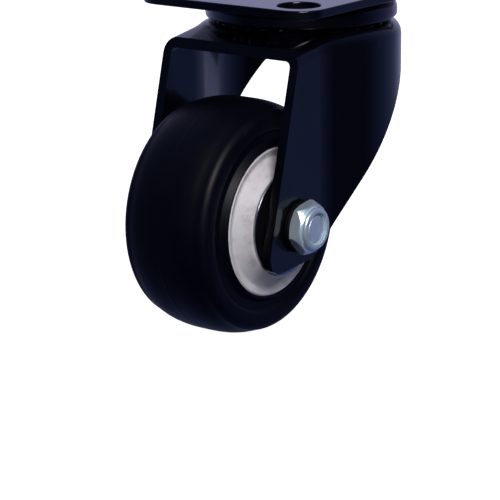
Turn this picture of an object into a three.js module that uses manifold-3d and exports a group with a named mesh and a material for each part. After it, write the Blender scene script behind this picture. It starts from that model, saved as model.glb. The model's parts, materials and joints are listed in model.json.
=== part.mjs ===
// A 50 mm swivel plate caster: plate, ball-bearing swivel head, pressed steel fork, bolted axle and wheel.
// Millimetres, +Z up. The origin is on the swivel axis, in the top face of the mounting plate.
// The wheel trails towards -X, and the lock nut of the axle is on the -Y side.

import * as THREE from 'three';
import { mergeVertices } from 'three/addons/utils/BufferGeometryUtils.js';
import Module from 'manifold-3d';

const wasm = await Module();
wasm.setup();

// ---- Driving dimensions -------------------------------------------------------------------------

const WHEEL_RADIUS = 25;
const AXLE_DROP = 45.2; // plate top to wheel centre
const TRAIL = 25.5; // swivel axis to wheel centre

const PLATE_LENGTH = 59;
const PLATE_WIDTH = 45;
const PLATE_THICKNESS = 1.8;
const PLATE_CORNER = 6;
const PLATE_EDGE = 0.3; // broken edge of the stamped plate
const PLATE_HOLE_RADIUS = 4.5;
const PLATE_HOLE_MARGIN = 7; // hole centre to plate edge

const UPPER_CUP_RADIUS = 20.6;
const UPPER_CUP_DEPTH = 4.6;
const CUP_SHEET = 1.5;
const CUP_BEND = 3; // outer bend radius of the upper cup's rim

const UPPER_BALL_RADIUS = 2;
const UPPER_BALL_PITCH_RADIUS = 16.8;
const UPPER_BALL_COUNT = 24; // at most: fewer where larger balls no longer fit side by side
const LOWER_BALL_RADIUS = 1.5;
const LOWER_BALL_PITCH_RADIUS = 8.5;
const LOWER_BALL_COUNT = 11;
const BALL_BITE = 0.17; // how far a ball sits below the face that its groove is cut in

const LOWER_CUP_RADIUS = 11.8;
const LOWER_CUP_WALL = 1;
const KING_PIN_RADIUS = 4;
const KING_PIN_HEAD_RADIUS = 5.6;
const RIVET_HEAD_RADIUS = 6.4;
const RIVET_HEAD_HEIGHT = 2;

const FORK_SHEET = 2.1;
const DOME_RADIUS = 21.5;
const ROOF_GAP = 0.6; // rim of the upper cup to the fork's roof
const DOME_BEND = 3.3;
const LEG_HALF_WIDTH = 17.5; // middle plane to the outer face of a leg
const CREASE_INSET = 1.4; // from the bearing's rear forward to the crease between flat leg and flank
const HOOD_FRONT_X = -24.8; // front edge of the roof
const HOOD_DROP = 2; // front edge of the roof below the dome's top
const HOOD_STEP = 0.1; // roof of the hood below the dome's where they meet
const FRONT_LEAN = 0.265; // how far the front edge leans forward for each millimetre down
const REAR_SLOPE = 1.166; // rise of the rear edge for each millimetre back
const REAR_EDGE_X = 13.2; // rear edge of the leg behind the wheel centre, at the axle's height
const TIP_DROP = 9.2; // lowest point of a leg below the axle
const TIP_RISE = 1.4; // rise of the leg's lower edge from front to rear
const TIP_FRONT_ROUND = 4;
const TIP_REAR_ROUND = 7;
const SKIRT_DEPTH = 9.5; // rear skirt of the dome, measured from the roof

const TYRE_SIDE_STEP = 0.6; // tyre's side wall below the hub's rim
const TREAD_CROWN = 1.45; // fall of the tread from its middle to its shoulder
const SHOULDER = 2;
const TYRE_RIDGE_RADIUS = 19.4;
const TYRE_BAND_DEPTH = 0.8; // hollow band between the side ridge and the hub
const TYRE_LIP = 0.5; // width of the tyre's lip around the hub, level with the hub's rim
const HUB_RADIUS = 15.8;
const HUB_RIM_STEP = 3; // hub's rim below the bearing's face
const HUB_RIB_RADIUS = 18.6; // rib that keys the tyre to the hub
const HUB_RIB_HALF_WIDTH = 3;
const HUB_VALLEY_RADIUS = 13.8; // lowest ring of the hub's face, between its rim and its boss
const HUB_VALLEY_DEPTH = 0.65;
const HUB_BOSS_WALL = 0.6; // boss around each bearing
const HUB_BOSS_STEP = 0.3; // boss below the bearing's face
const HUB_BORE_RADIUS = 7.6;

const BEARING_RADIUS = 11;
const BEARING_BORE_RADIUS = 4;
const BEARING_WIDTH = 7;
const BEARING_STANDOFF = 1.1; // outer face of each bearing to the inside of the leg
const BEARING_BALL_RADIUS = 1.98;
const BEARING_BALL_COUNT = 7;
const BEARING_BITE = 0.45; // depth of the bearing's ball grooves
const BEARING_RIM = 1.1; // bright rim of the outer ring around the seal
const SEAL_THICKNESS = 0.6;
const SEAL_RECESS = 0.25;
const CAGE_HALF_WIDTH = 1.3;
const CAGE_WALL = 0.7;

const BOLT_RADIUS = 3;
const BOLT_CHAMFER = 0.5;
const HEX_ACROSS_FLATS = 10;
const BOLT_HEAD_HEIGHT = 4;
const NUT_HEIGHT = 3.6;
const NUT_HEX_HEIGHT = 2.5;
const NUT_COLLAR_RADIUS = 4.45;
const NUT_ROUND = 0.5;
const NUT_CORNER_FALL = 1.4; // how far the steep chamfer runs down the nut's corners
const HEX_CORNER_FALL = 0.4;
const NUT_TURN = 18; // degrees
const INSERT_RADIUS = 3.75;
const INSERT_HEIGHT = 0.9;
const INSERT_DEPTH = 0.45; // nylon insert below the nut's end face
const WASHER_RADIUS = 5.5;
const WASHER_THICKNESS = 1;
const SPACER_WALL = 1.6;

// ---- Clearances ---------------------------------------------------------------------------------

const SEAT_GAP = 0.05; // faces that are clamped or pressed together
const RUN_GAP = 0.1; // faces that turn past each other
const BALL_GAP = 0.1; // ball to its groove
const BALL_SPACE = 0.35; // between loose balls that lie side by side
const PIN_GAP = 0.5; // king pin through the fork's roof
const BOLT_GAP = 0.2; // bolt through the legs and the washers
const SIDE_GAP = 0.1; // ends of the axle sleeve to the legs

// ---- Sizes that follow --------------------------------------------------------------------------

const plateBottom = -PLATE_THICKNESS;
const cupTop = plateBottom - SEAT_GAP;
const cupRim = plateBottom - UPPER_CUP_DEPTH;
const roofTop = cupRim - ROOF_GAP;
const roofUnderside = roofTop - FORK_SHEET;
const upperBallZ = roofTop - BALL_BITE + UPPER_BALL_RADIUS;
const cupFace = upperBallZ + UPPER_BALL_RADIUS - BALL_BITE;
const lowerBallZ = roofUnderside + BALL_BITE - LOWER_BALL_RADIUS;
const lowerCupFace = lowerBallZ - LOWER_BALL_RADIUS + BALL_BITE;
const lowerCupBottom = lowerCupFace - CUP_SHEET;
const lowerCupRim = roofUnderside - 4 * RUN_GAP;
const legInner = LEG_HALF_WIDTH - FORK_SHEET;
const legCreaseX = -TRAIL + BEARING_RADIUS - CREASE_INSET;
const hoodEnd = legCreaseX + DOME_BEND;
const hoodSlope = (HOOD_DROP - HOOD_STEP) / (hoodEnd - HOOD_FRONT_X);
const bearingFaceY = legInner - BEARING_STANDOFF;
const bearingInnerY = bearingFaceY - BEARING_WIDTH;
const bearingMiddleY = bearingFaceY - BEARING_WIDTH / 2;
const hubBossY = bearingFaceY - HUB_BOSS_STEP;
const hubHalfWidth = bearingFaceY - HUB_RIM_STEP;
const tyreHalfWidth = hubHalfWidth - TYRE_SIDE_STEP;
const bearingPitchRadius = (BEARING_RADIUS + BEARING_BORE_RADIUS) / 2;
const bearingLand = BEARING_BALL_RADIUS - BEARING_BITE;
const outerLandRadius = bearingPitchRadius + bearingLand;
const innerLandRadius = bearingPitchRadius - bearingLand;
const sealRadius = BEARING_RADIUS - BEARING_RIM;
const washerOuterY = LEG_HALF_WIDTH + SEAT_GAP + WASHER_THICKNESS;
const nutBaseY = washerOuterY + SEAT_GAP;
const nutEndY = nutBaseY + NUT_HEIGHT;
const boltEndY = nutEndY - INSERT_DEPTH;

// ---- Fineness of round faces --------------------------------------------------------------------

const WHEEL_SEGMENTS = 36;
const HEAD_SEGMENTS = 2 * UPPER_BALL_COUNT;
const LOWER_CUP_SEGMENTS = 2 * LOWER_BALL_COUNT;
const AXLE_SEGMENTS = 20;
const BEARING_SEGMENTS = 4 * BEARING_BALL_COUNT; // a facet edge at each ball
const DOME_DIVISIONS = 14;
const CORNER_DIVISIONS = 3;
const GROOVE_STEPS = 2;
const BALL_COLUMNS = 6;
const BALL_ROWS = 5;

// ---- Materials ----------------------------------------------------------------------------------

const finish = (color, roughness, metalness) =>
  new THREE.MeshStandardMaterial({ color, roughness, metalness });
const BLACK_PAINT = finish(0x0b0c14, 0.22, 0.2);
const BALL_STEEL = finish(0xc9ccd2, 0.15, 1);
const ZINC = finish(0xb9c6d2, 0.3, 1);
const BLACK_STEEL = finish(0x141416, 0.45, 0.7);
const TYRE_RUBBER = finish(0x0a0c14, 0.4, 0);
const HUB_PLASTIC = finish(0xe4e3e6, 0.42, 0);
const RING_STEEL = finish(0x9fa4ad, 0.25, 1);
const SEAL_RUBBER = finish(0x101114, 0.5, 0);
const NYLON = finish(0xd8dde0, 0.5, 0);
const BRASS_CAGE = finish(0xa08850, 0.4, 0.9);

// ---- Geometry helpers ---------------------------------------------------------------------------

/** Turns a closed three.js geometry into a manifold solid. */
function solid(geometry) {
  geometry.deleteAttribute('normal');
  geometry.deleteAttribute('uv');
  const merged = mergeVertices(geometry, 1e-4);
  const mesh = new wasm.Mesh({
    numProp: 3,
    vertProperties: new Float32Array(merged.attributes.position.array),
    triVerts: new Uint32Array(merged.index.array),
  });
  return new wasm.Manifold(mesh);
}

/** Turns a manifold solid back into a flat-shaded three.js geometry. */
function geometryOf(manifold) {
  const { vertProperties, triVerts } = manifold.getMesh();
  const geometry = new THREE.BufferGeometry();
  geometry.setAttribute('position', new THREE.BufferAttribute(new Float32Array(vertProperties), 3));
  geometry.setIndex(new THREE.BufferAttribute(new Uint32Array(triVerts), 1));
  geometry.computeVertexNormals();
  return geometry;
}

/** Makes a named mesh of a solid. */
function piece(name, manifold, material) {
  const mesh = new THREE.Mesh(geometryOf(manifold), material);
  mesh.name = name;
  return mesh;
}

/** Points of an arc in a profile plane, with both ends. */
function arc(x, y, radius, from, to, steps) {
  return Array.from({ length: steps + 1 }, (_, i) => {
    const angle = THREE.MathUtils.degToRad(from + ((to - from) * i) / steps);
    return [x + radius * Math.cos(angle), y + radius * Math.sin(angle)];
  });
}

/** A solid turned about Y from a closed profile of [radius, height] points, listed counter-clockwise. */
function turnedY(profile, segments) {
  const points = [...profile, profile[0]].map(([r, y]) => new THREE.Vector2(r, y));
  return solid(new THREE.LatheGeometry(points, segments));
}

/** The same solid turned about Z. */
function turnedZ(profile, segments) {
  const points = [...profile, profile[0]].map(([r, z]) => new THREE.Vector2(r, z));
  return solid(new THREE.LatheGeometry(points, segments).rotateX(Math.PI / 2));
}

/** A plain ring about Y between two radii and two heights. */
function ringY(inner, outer, from, to, segments) {
  return turnedY([[inner, from], [outer, from], [outer, to], [inner, to]], segments);
}

/** A full round bar along Y. */
function barY(radius, from, to, segments) {
  const bar = new THREE.CylinderGeometry(radius, radius, to - from, segments);
  return solid(bar.translate(0, (from + to) / 2, 0));
}

/** A full round bar along Z. */
function barZ(radius, from, to, segments) {
  const bar = new THREE.CylinderGeometry(radius, radius, to - from, segments);
  return solid(bar.rotateX(Math.PI / 2).translate(0, 0, (from + to) / 2));
}

/** Points of a ball groove in a profile, about the angle that it faces, in the profile's own direction. */
function groove(pitchRadius, height, ballRadius, bite, facing) {
  const radius = ballRadius + BALL_GAP;
  const half = THREE.MathUtils.radToDeg(Math.acos((ballRadius - bite) / radius));
  return arc(pitchRadius, height, radius, facing + half, facing - half, GROOVE_STEPS);
}

/** A ring about Z that cuts such a groove into a solid. */
function grooveCutter(pitchRadius, z, ballRadius, facing, segments) {
  const cut = groove(pitchRadius, z, ballRadius, BALL_BITE, facing).reverse();
  return turnedZ([...cut, [pitchRadius, z]], segments);
}

/** A shape in the (Y, Z) plane pushed along X. */
function pushedX(shape, from, to) {
  const geometry = new THREE.ExtrudeGeometry(shape, {
    depth: to - from,
    bevelEnabled: false,
    curveSegments: CORNER_DIVISIONS,
  });
  geometry.translate(0, 0, from);
  geometry.applyMatrix4(new THREE.Matrix4().makeBasis(
    new THREE.Vector3(0, 1, 0), new THREE.Vector3(0, 0, 1), new THREE.Vector3(1, 0, 0)));
  return geometry;
}

/** A shape in the (X, Z) plane pushed along Y, centred on the middle plane. */
function pushedY(shape, halfWidth) {
  const geometry = new THREE.ExtrudeGeometry(shape, {
    depth: 2 * halfWidth,
    bevelEnabled: false,
    curveSegments: 2 * CORNER_DIVISIONS,
  });
  geometry.translate(0, 0, -halfWidth);
  geometry.rotateX(Math.PI / 2);
  return geometry;
}

/** Rounds the corners of a polygon: each entry is [x, y, corner radius]. */
function roundedShape(corners) {
  const shape = new THREE.Shape();
  corners.forEach(([x, y, radius], i) => {
    const at = new THREE.Vector2(x, y);
    const [px, py] = corners[(i + corners.length - 1) % corners.length];
    const [nx, ny] = corners[(i + 1) % corners.length];
    const back = new THREE.Vector2(px - x, py - y).normalize();
    const on = new THREE.Vector2(nx - x, ny - y).normalize();
    const half = Math.acos(THREE.MathUtils.clamp(back.dot(on), -1, 1)) / 2;
    const reach = radius / Math.tan(half);
    const start = at.clone().addScaledVector(back, reach);
    const end = at.clone().addScaledVector(on, reach);
    if (i === 0) shape.moveTo(start.x, start.y);
    else shape.lineTo(start.x, start.y);
    if (radius > 0) shape.quadraticCurveTo(at.x, at.y, end.x, end.y);
  });
  shape.closePath();
  return shape;
}

// ---- Mounting plate and swivel head -------------------------------------------------------------

/** Flat plate with rounded corners, four bolt holes and a countersunk hole for the king pin. */
function mountingPlate() {
  const x = PLATE_LENGTH / 2 - PLATE_EDGE;
  const y = PLATE_WIDTH / 2 - PLATE_EDGE;
  const corner = PLATE_CORNER - PLATE_EDGE;
  const outline = new THREE.Shape();
  outline.moveTo(-x + corner, -y);
  outline.absarc(x - corner, -y + corner, corner, -Math.PI / 2, 0, false);
  outline.absarc(x - corner, y - corner, corner, 0, Math.PI / 2, false);
  outline.absarc(-x + corner, y - corner, corner, Math.PI / 2, Math.PI, false);
  outline.absarc(-x + corner, -y + corner, corner, Math.PI, 1.5 * Math.PI, false);
  const blank = new THREE.ExtrudeGeometry(outline, {
    depth: PLATE_THICKNESS - 2 * PLATE_EDGE,
    bevelThickness: PLATE_EDGE,
    bevelSize: PLATE_EDGE,
    bevelSegments: 1,
    curveSegments: CORNER_DIVISIONS,
  });
  let plate = solid(blank.translate(0, 0, plateBottom + PLATE_EDGE));
  for (const sx of [-1, 1]) {
    for (const sy of [-1, 1]) {
      const hole = barZ(PLATE_HOLE_RADIUS, plateBottom - 1, 1, AXLE_SEGMENTS);
      plate = plate.subtract(hole.translate([
        sx * (PLATE_LENGTH / 2 - PLATE_HOLE_MARGIN), sy * (PLATE_WIDTH / 2 - PLATE_HOLE_MARGIN), 0]));
    }
  }
  return plate.subtract(kingPinSolid(SEAT_GAP));
}

/** The king pin, grown by a gap when it is used to cut the holes that it passes through. */
function kingPinSolid(gap) {
  const shank = KING_PIN_RADIUS + gap;
  const head = KING_PIN_HEAD_RADIUS + gap;
  const top = gap > 0 ? 1 : 0;
  const rivetTop = lowerCupBottom - SEAT_GAP;
  const bottom = gap > 0 ? [[0, plateBottom - 1], [shank, plateBottom - 1]] : [
    [0, rivetTop - RIVET_HEAD_HEIGHT],
    ...arc(RIVET_HEAD_RADIUS - 1, rivetTop - RIVET_HEAD_HEIGHT + 1, 1, -90, 0, 3),
    [RIVET_HEAD_RADIUS, rivetTop],
    [shank, rivetTop],
  ];
  const profile = [...bottom, [shank, plateBottom], [head, -SEAT_GAP], [head, top], [0, top]];
  return solidOfRevolution(profile, AXLE_SEGMENTS);
}

/** A solid about Z whose profile starts and ends on the axis. */
function solidOfRevolution(profile, segments) {
  const points = profile.map(([r, z]) => new THREE.Vector2(r, z));
  return solid(new THREE.LatheGeometry(points, segments).rotateX(Math.PI / 2));
}

/** Upper ball cup: a pressed disc with a turned-down rim, welded under the plate. */
function upperRaceway() {
  const bendTop = cupTop - CUP_BEND;
  const inside = CUP_BEND - CUP_SHEET;
  const pinHole = KING_PIN_RADIUS + SEAT_GAP;
  const rimRound = 0.5;
  const wall = UPPER_CUP_RADIUS - CUP_SHEET;
  return turnedZ([
    [pinHole, cupFace],
    ...groove(UPPER_BALL_PITCH_RADIUS, upperBallZ, UPPER_BALL_RADIUS, BALL_BITE, 90),
    [wall - inside / 2, cupFace],
    [wall, cupFace - inside / 2],
    [wall, cupRim],
    ...arc(UPPER_CUP_RADIUS - rimRound, cupRim + rimRound, rimRound, -90, 0, 2),
    ...arc(UPPER_CUP_RADIUS - CUP_BEND, bendTop, CUP_BEND, 0, 90, 5),
    [pinHole, cupTop],
  ], HEAD_SEGMENTS);
}

/** Lower ball cup: a small dish that holds the lower balls up against the fork's roof. */
function lowerRaceway() {
  const bend = 1.6;
  const pinHole = KING_PIN_RADIUS + SEAT_GAP;
  return turnedZ([
    [pinHole, lowerCupBottom],
    ...arc(LOWER_CUP_RADIUS - bend, lowerCupBottom + bend, bend, -90, 0, 3),
    [LOWER_CUP_RADIUS, lowerCupRim],
    [LOWER_CUP_RADIUS - LOWER_CUP_WALL, lowerCupRim],
    [LOWER_CUP_RADIUS - LOWER_CUP_WALL, lowerCupFace],
    ...groove(LOWER_BALL_PITCH_RADIUS, lowerBallZ, LOWER_BALL_RADIUS, BALL_BITE, -90),
    [pinHole, lowerCupFace],
  ], LOWER_CUP_SEGMENTS);
}

/** Evenly spaced loose balls about the swivel axis. */
function ballRing(prefix, most, pitchRadius, z, radius) {
  const count = Math.min(most, Math.floor((2 * Math.PI * pitchRadius) / (2 * radius + BALL_SPACE)));
  return Array.from({ length: count }, (_, i) => {
    const angle = (2 * Math.PI * i) / count;
    const ball = new THREE.SphereGeometry(radius, BALL_COLUMNS, BALL_ROWS);
    ball.rotateX(Math.PI / 2).translate(pitchRadius * Math.cos(angle), pitchRadius * Math.sin(angle), z);
    return piece(`${prefix}_${String(i + 1).padStart(2, '0')}`, solid(ball), BALL_STEEL);
  });
}

// ---- Fork ---------------------------------------------------------------------------------------

/** Angle of the point where a straight flank leaves the dome's arc, counted from the +X axis. */
function flankAngle() {
  const reach = Math.hypot(legCreaseX, LEG_HALF_WIDTH);
  const creaseAngle = Math.atan2(LEG_HALF_WIDTH, legCreaseX);
  return creaseAngle - Math.acos(Math.min(1, DOME_RADIUS / reach));
}

/** Plan of the dome: a round crown whose flanks are drawn out straight from the arc to the leg creases. */
function domePlan(inset, front) {
  const angle = flankAngle();
  const radius = DOME_RADIUS - inset;
  const frontY = (radius - front * Math.cos(angle)) / Math.sin(angle);
  const crown = Math.acos(front / radius);
  const plan = new THREE.Shape();
  plan.moveTo(front, -frontY);
  plan.absarc(0, 0, radius, -angle, angle, false);
  plan.lineTo(front, frontY);
  plan.absarc(0, 0, radius, crown, 2 * Math.PI - crown, false);
  plan.closePath();
  return plan;
}

/** The dome as a full block with a rounded top edge, reaching below the legs. */
function domeBlock(inset, top, bend) {
  const depth = AXLE_DROP + TIP_DROP;
  const block = new THREE.ExtrudeGeometry(domePlan(inset + bend, legCreaseX + bend), {
    depth,
    bevelThickness: bend,
    bevelSize: bend,
    bevelSegments: 3,
    curveSegments: DOME_DIVISIONS,
  });
  return solid(block.translate(0, 0, top - bend - depth));
}

/** The hood and legs as a full block of an upside-down U section, its roof rising towards the dome. */
function hoodBlock(inset, top, bend) {
  const y = LEG_HALF_WIDTH - inset;
  const bottom = -AXLE_DROP - 2 * TIP_DROP;
  const section = new THREE.Shape();
  section.moveTo(-y, bottom);
  section.lineTo(y, bottom);
  section.absarc(y - bend, top - bend, bend, 0, Math.PI / 2, false);
  section.absarc(-y + bend, top - bend, bend, Math.PI / 2, Math.PI, false);
  section.closePath();
  const geometry = pushedX(section, HOOD_FRONT_X - WHEEL_RADIUS, hoodEnd);
  const shear = new THREE.Matrix4().set(
    1, 0, 0, 0, 0, 1, 0, 0, hoodSlope, 0, 1, -hoodSlope * HOOD_FRONT_X, 0, 0, 0, 1);
  return solid(geometry.applyMatrix4(shear));
}

/** Side outline of the fork: leaning front edge, rounded leg tip, straight rear edge and rear skirt. */
function forkOutline() {
  const above = 5;
  const front = (z) => HOOD_FRONT_X + FRONT_LEAN * (z - roofTop + HOOD_DROP);
  const rear = (z) => -TRAIL + REAR_EDGE_X + (z + AXLE_DROP) / REAR_SLOPE;
  const tipZ = -AXLE_DROP - TIP_DROP;
  const skirtZ = roofTop - SKIRT_DEPTH;
  const back = DOME_RADIUS + above;
  return roundedShape([
    [front(above), above, 0],
    [front(tipZ), tipZ, TIP_FRONT_ROUND],
    [rear(tipZ + TIP_RISE), tipZ + TIP_RISE, TIP_REAR_ROUND],
    [rear(skirtZ), skirtZ, SKIRT_DEPTH],
    [back, skirtZ, 0],
    [back, above, 0],
  ]);
}

/** Pressed fork: one sheet drawn into a dome, a hood and two legs. */
function fork() {
  const innerBend = DOME_BEND - FORK_SHEET;
  const outer = domeBlock(0, roofTop, DOME_BEND).add(hoodBlock(0, roofTop - HOOD_DROP, DOME_BEND));
  const inner = domeBlock(FORK_SHEET, roofUnderside, innerBend)
    .add(hoodBlock(FORK_SHEET, roofUnderside - HOOD_DROP, innerBend));
  return outer
    .subtract(inner)
    .intersect(solid(pushedY(forkOutline(), DOME_RADIUS + 5)))
    .subtract(barZ(KING_PIN_RADIUS + PIN_GAP, roofUnderside - 1, roofTop + 1, AXLE_SEGMENTS))
    .subtract(grooveCutter(UPPER_BALL_PITCH_RADIUS, upperBallZ, UPPER_BALL_RADIUS, -90, HEAD_SEGMENTS))
    .subtract(grooveCutter(LOWER_BALL_PITCH_RADIUS, lowerBallZ, LOWER_BALL_RADIUS, 90, LOWER_CUP_SEGMENTS))
    .subtract(barY(BOLT_RADIUS + BOLT_GAP, -DOME_RADIUS, DOME_RADIUS, AXLE_SEGMENTS)
      .translate([-TRAIL, 0, -AXLE_DROP]));
}

// ---- Axle: everything here is centred on the wheel and turned about Y --------------------------

/** A hexagonal prism about Y whose corners fall away by a given height at each end. */
function hexPrism(from, to, lowFall, highFall) {
  const cornerRadius = HEX_ACROSS_FLATS / Math.sqrt(3);
  const flatRadius = HEX_ACROSS_FLATS / 2;
  const prism = new THREE.CylinderGeometry(cornerRadius, cornerRadius, to - from, 6);
  prism.translate(0, (from + to) / 2, 0);
  const wide = cornerRadius + 0.01;
  const low = lowFall > 0 ? [[flatRadius, from], [wide, from + lowFall]] : [[wide, from]];
  const high = [[wide, to - highFall], [flatRadius, to]];
  const envelope = [[0, from], ...low, ...high, [0, to]].map(([r, y]) => new THREE.Vector2(r, y));
  return solid(prism).intersect(solid(new THREE.LatheGeometry(envelope, AXLE_SEGMENTS)));
}

/** Hexagon bolt: its head is on the +Y side and its end stands in the lock nut. */
function axleBolt() {
  const shank = solid(new THREE.LatheGeometry([
    [0, -boltEndY],
    [BOLT_RADIUS - BOLT_CHAMFER, -boltEndY],
    [BOLT_RADIUS, -boltEndY + BOLT_CHAMFER],
    [BOLT_RADIUS, nutBaseY + 1],
    [0, nutBaseY + 1],
  ].map(([r, y]) => new THREE.Vector2(r, y)), AXLE_SEGMENTS));
  return hexPrism(nutBaseY, nutBaseY + BOLT_HEAD_HEIGHT, 0, HEX_CORNER_FALL).add(shank);
}

/** Lock nut: a chamfered hexagon with a round collar that grips a nylon insert. */
function lockNut() {
  const hexEnd = nutBaseY + NUT_HEX_HEIGHT;
  const collar = turnedY([
    [BOLT_RADIUS + SEAT_GAP, nutBaseY],
    [NUT_COLLAR_RADIUS, nutBaseY],
    ...arc(NUT_COLLAR_RADIUS - NUT_ROUND, nutEndY - NUT_ROUND, NUT_ROUND, 0, 90, 3),
    [BOLT_RADIUS + SEAT_GAP, nutEndY],
  ], AXLE_SEGMENTS);
  const bore = barY(BOLT_RADIUS + SEAT_GAP, nutBaseY - 1, nutEndY + 1, AXLE_SEGMENTS);
  const insertSeat = ringY(BOLT_RADIUS, INSERT_RADIUS + SEAT_GAP,
    nutEndY - INSERT_DEPTH - INSERT_HEIGHT - SEAT_GAP, nutEndY - INSERT_DEPTH + SEAT_GAP, AXLE_SEGMENTS);
  return hexPrism(nutBaseY, hexEnd, HEX_CORNER_FALL, NUT_CORNER_FALL)
    .add(collar)
    .subtract(bore)
    .subtract(insertSeat)
    .rotate([180, 0, 0])
    .rotate([0, NUT_TURN, 0]);
}

/** Nylon ring inside the lock nut's collar. */
function nutInsert() {
  const end = -(nutEndY - INSERT_DEPTH);
  return ringY(BOLT_RADIUS + SEAT_GAP, INSERT_RADIUS, end, end + INSERT_HEIGHT, AXLE_SEGMENTS);
}

/** A round washer with softly broken edges, on the side given by its sign. */
function washer(side) {
  const edge = 0.2;
  const from = LEG_HALF_WIDTH + SEAT_GAP;
  const ring = turnedY([
    [BOLT_RADIUS + BOLT_GAP, from],
    [WASHER_RADIUS - edge, from],
    [WASHER_RADIUS, from + edge],
    [WASHER_RADIUS, washerOuterY - edge],
    [WASHER_RADIUS - edge, washerOuterY],
    [BOLT_RADIUS + BOLT_GAP, washerOuterY],
  ], AXLE_SEGMENTS);
  return side > 0 ? ring : ring.rotate([180, 0, 0]);
}

/** Steel sleeve that the bolt clamps between the legs. */
function axleSleeve() {
  const end = legInner - SIDE_GAP;
  return ringY(BOLT_RADIUS + BOLT_GAP, BEARING_BORE_RADIUS - SEAT_GAP, -end, end, AXLE_SEGMENTS);
}

/** Spacer ring between a bearing's inner ring and the leg. */
function bearingSpacer(side) {
  const ring = ringY(BEARING_BORE_RADIUS + SEAT_GAP, BEARING_BORE_RADIUS + SPACER_WALL,
    bearingFaceY + SEAT_GAP, legInner - SIDE_GAP, AXLE_SEGMENTS);
  return side > 0 ? ring : ring.rotate([180, 0, 0]);
}

// ---- Wheel --------------------------------------------------------------------------------------

/** Half of a profile, listed from the -Y end to the +Y end, from its own +Y half. */
function mirrored(half) {
  return [...half.map(([r, y]) => [r, -y]).reverse(), ...half];
}

/** Polyurethane tyre: crowned tread, round shoulders, a side ridge and a hollow band beside the hub. */
function tyre() {
  const crownHalf = tyreHalfWidth - SHOULDER;
  const shoulderRadius = WHEEL_RADIUS - TREAD_CROWN;
  const steps = 3;
  const crown = Array.from({ length: steps + 1 }, (_, i) => {
    const y = (crownHalf * i) / steps;
    return [WHEEL_RADIUS - TREAD_CROWN * (y / crownHalf) ** 2, y];
  });
  const seat = HUB_RADIUS + SEAT_GAP;
  const rib = HUB_RIB_RADIUS + SEAT_GAP;
  const outside = mirrored([
    ...crown.slice(1),
    ...arc(shoulderRadius - SHOULDER, crownHalf, SHOULDER, 0, 90, 4).slice(1),
    [TYRE_RIDGE_RADIUS, tyreHalfWidth],
    [TYRE_RIDGE_RADIUS - TYRE_BAND_DEPTH, tyreHalfWidth - TYRE_BAND_DEPTH],
    [HUB_RADIUS + 2 * TYRE_BAND_DEPTH, tyreHalfWidth - TYRE_BAND_DEPTH],
    [seat + TYRE_LIP, hubHalfWidth],
    [seat, hubHalfWidth],
  ]);
  const bore = [
    [seat, HUB_RIB_HALF_WIDTH + SEAT_GAP],
    [rib, HUB_RIB_HALF_WIDTH + SEAT_GAP],
    [rib, -HUB_RIB_HALF_WIDTH - SEAT_GAP],
    [seat, -HUB_RIB_HALF_WIDTH - SEAT_GAP],
  ];
  return turnedY([...outside, ...bore], WHEEL_SEGMENTS);
}

/** White plastic hub: a keyed rim, faces that rise to a boss and a stepped bore for two bearings. */
function wheelHub() {
  const chamfer = 0.4;
  const seat = BEARING_RADIUS;
  const outside = mirrored([
    [HUB_RIB_RADIUS, HUB_RIB_HALF_WIDTH],
    [HUB_RADIUS, HUB_RIB_HALF_WIDTH],
    [HUB_RADIUS, hubHalfWidth - chamfer],
    [HUB_RADIUS - chamfer, hubHalfWidth],
    [HUB_VALLEY_RADIUS, hubHalfWidth - HUB_VALLEY_DEPTH],
    [seat + HUB_BOSS_WALL, hubBossY - chamfer],
    [seat + HUB_BOSS_WALL / 2, hubBossY],
    [seat, hubBossY],
    [seat, bearingInnerY - SEAT_GAP],
    [HUB_BORE_RADIUS, bearingInnerY - SEAT_GAP],
  ]);
  return turnedY(outside, WHEEL_SEGMENTS);
}

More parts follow.
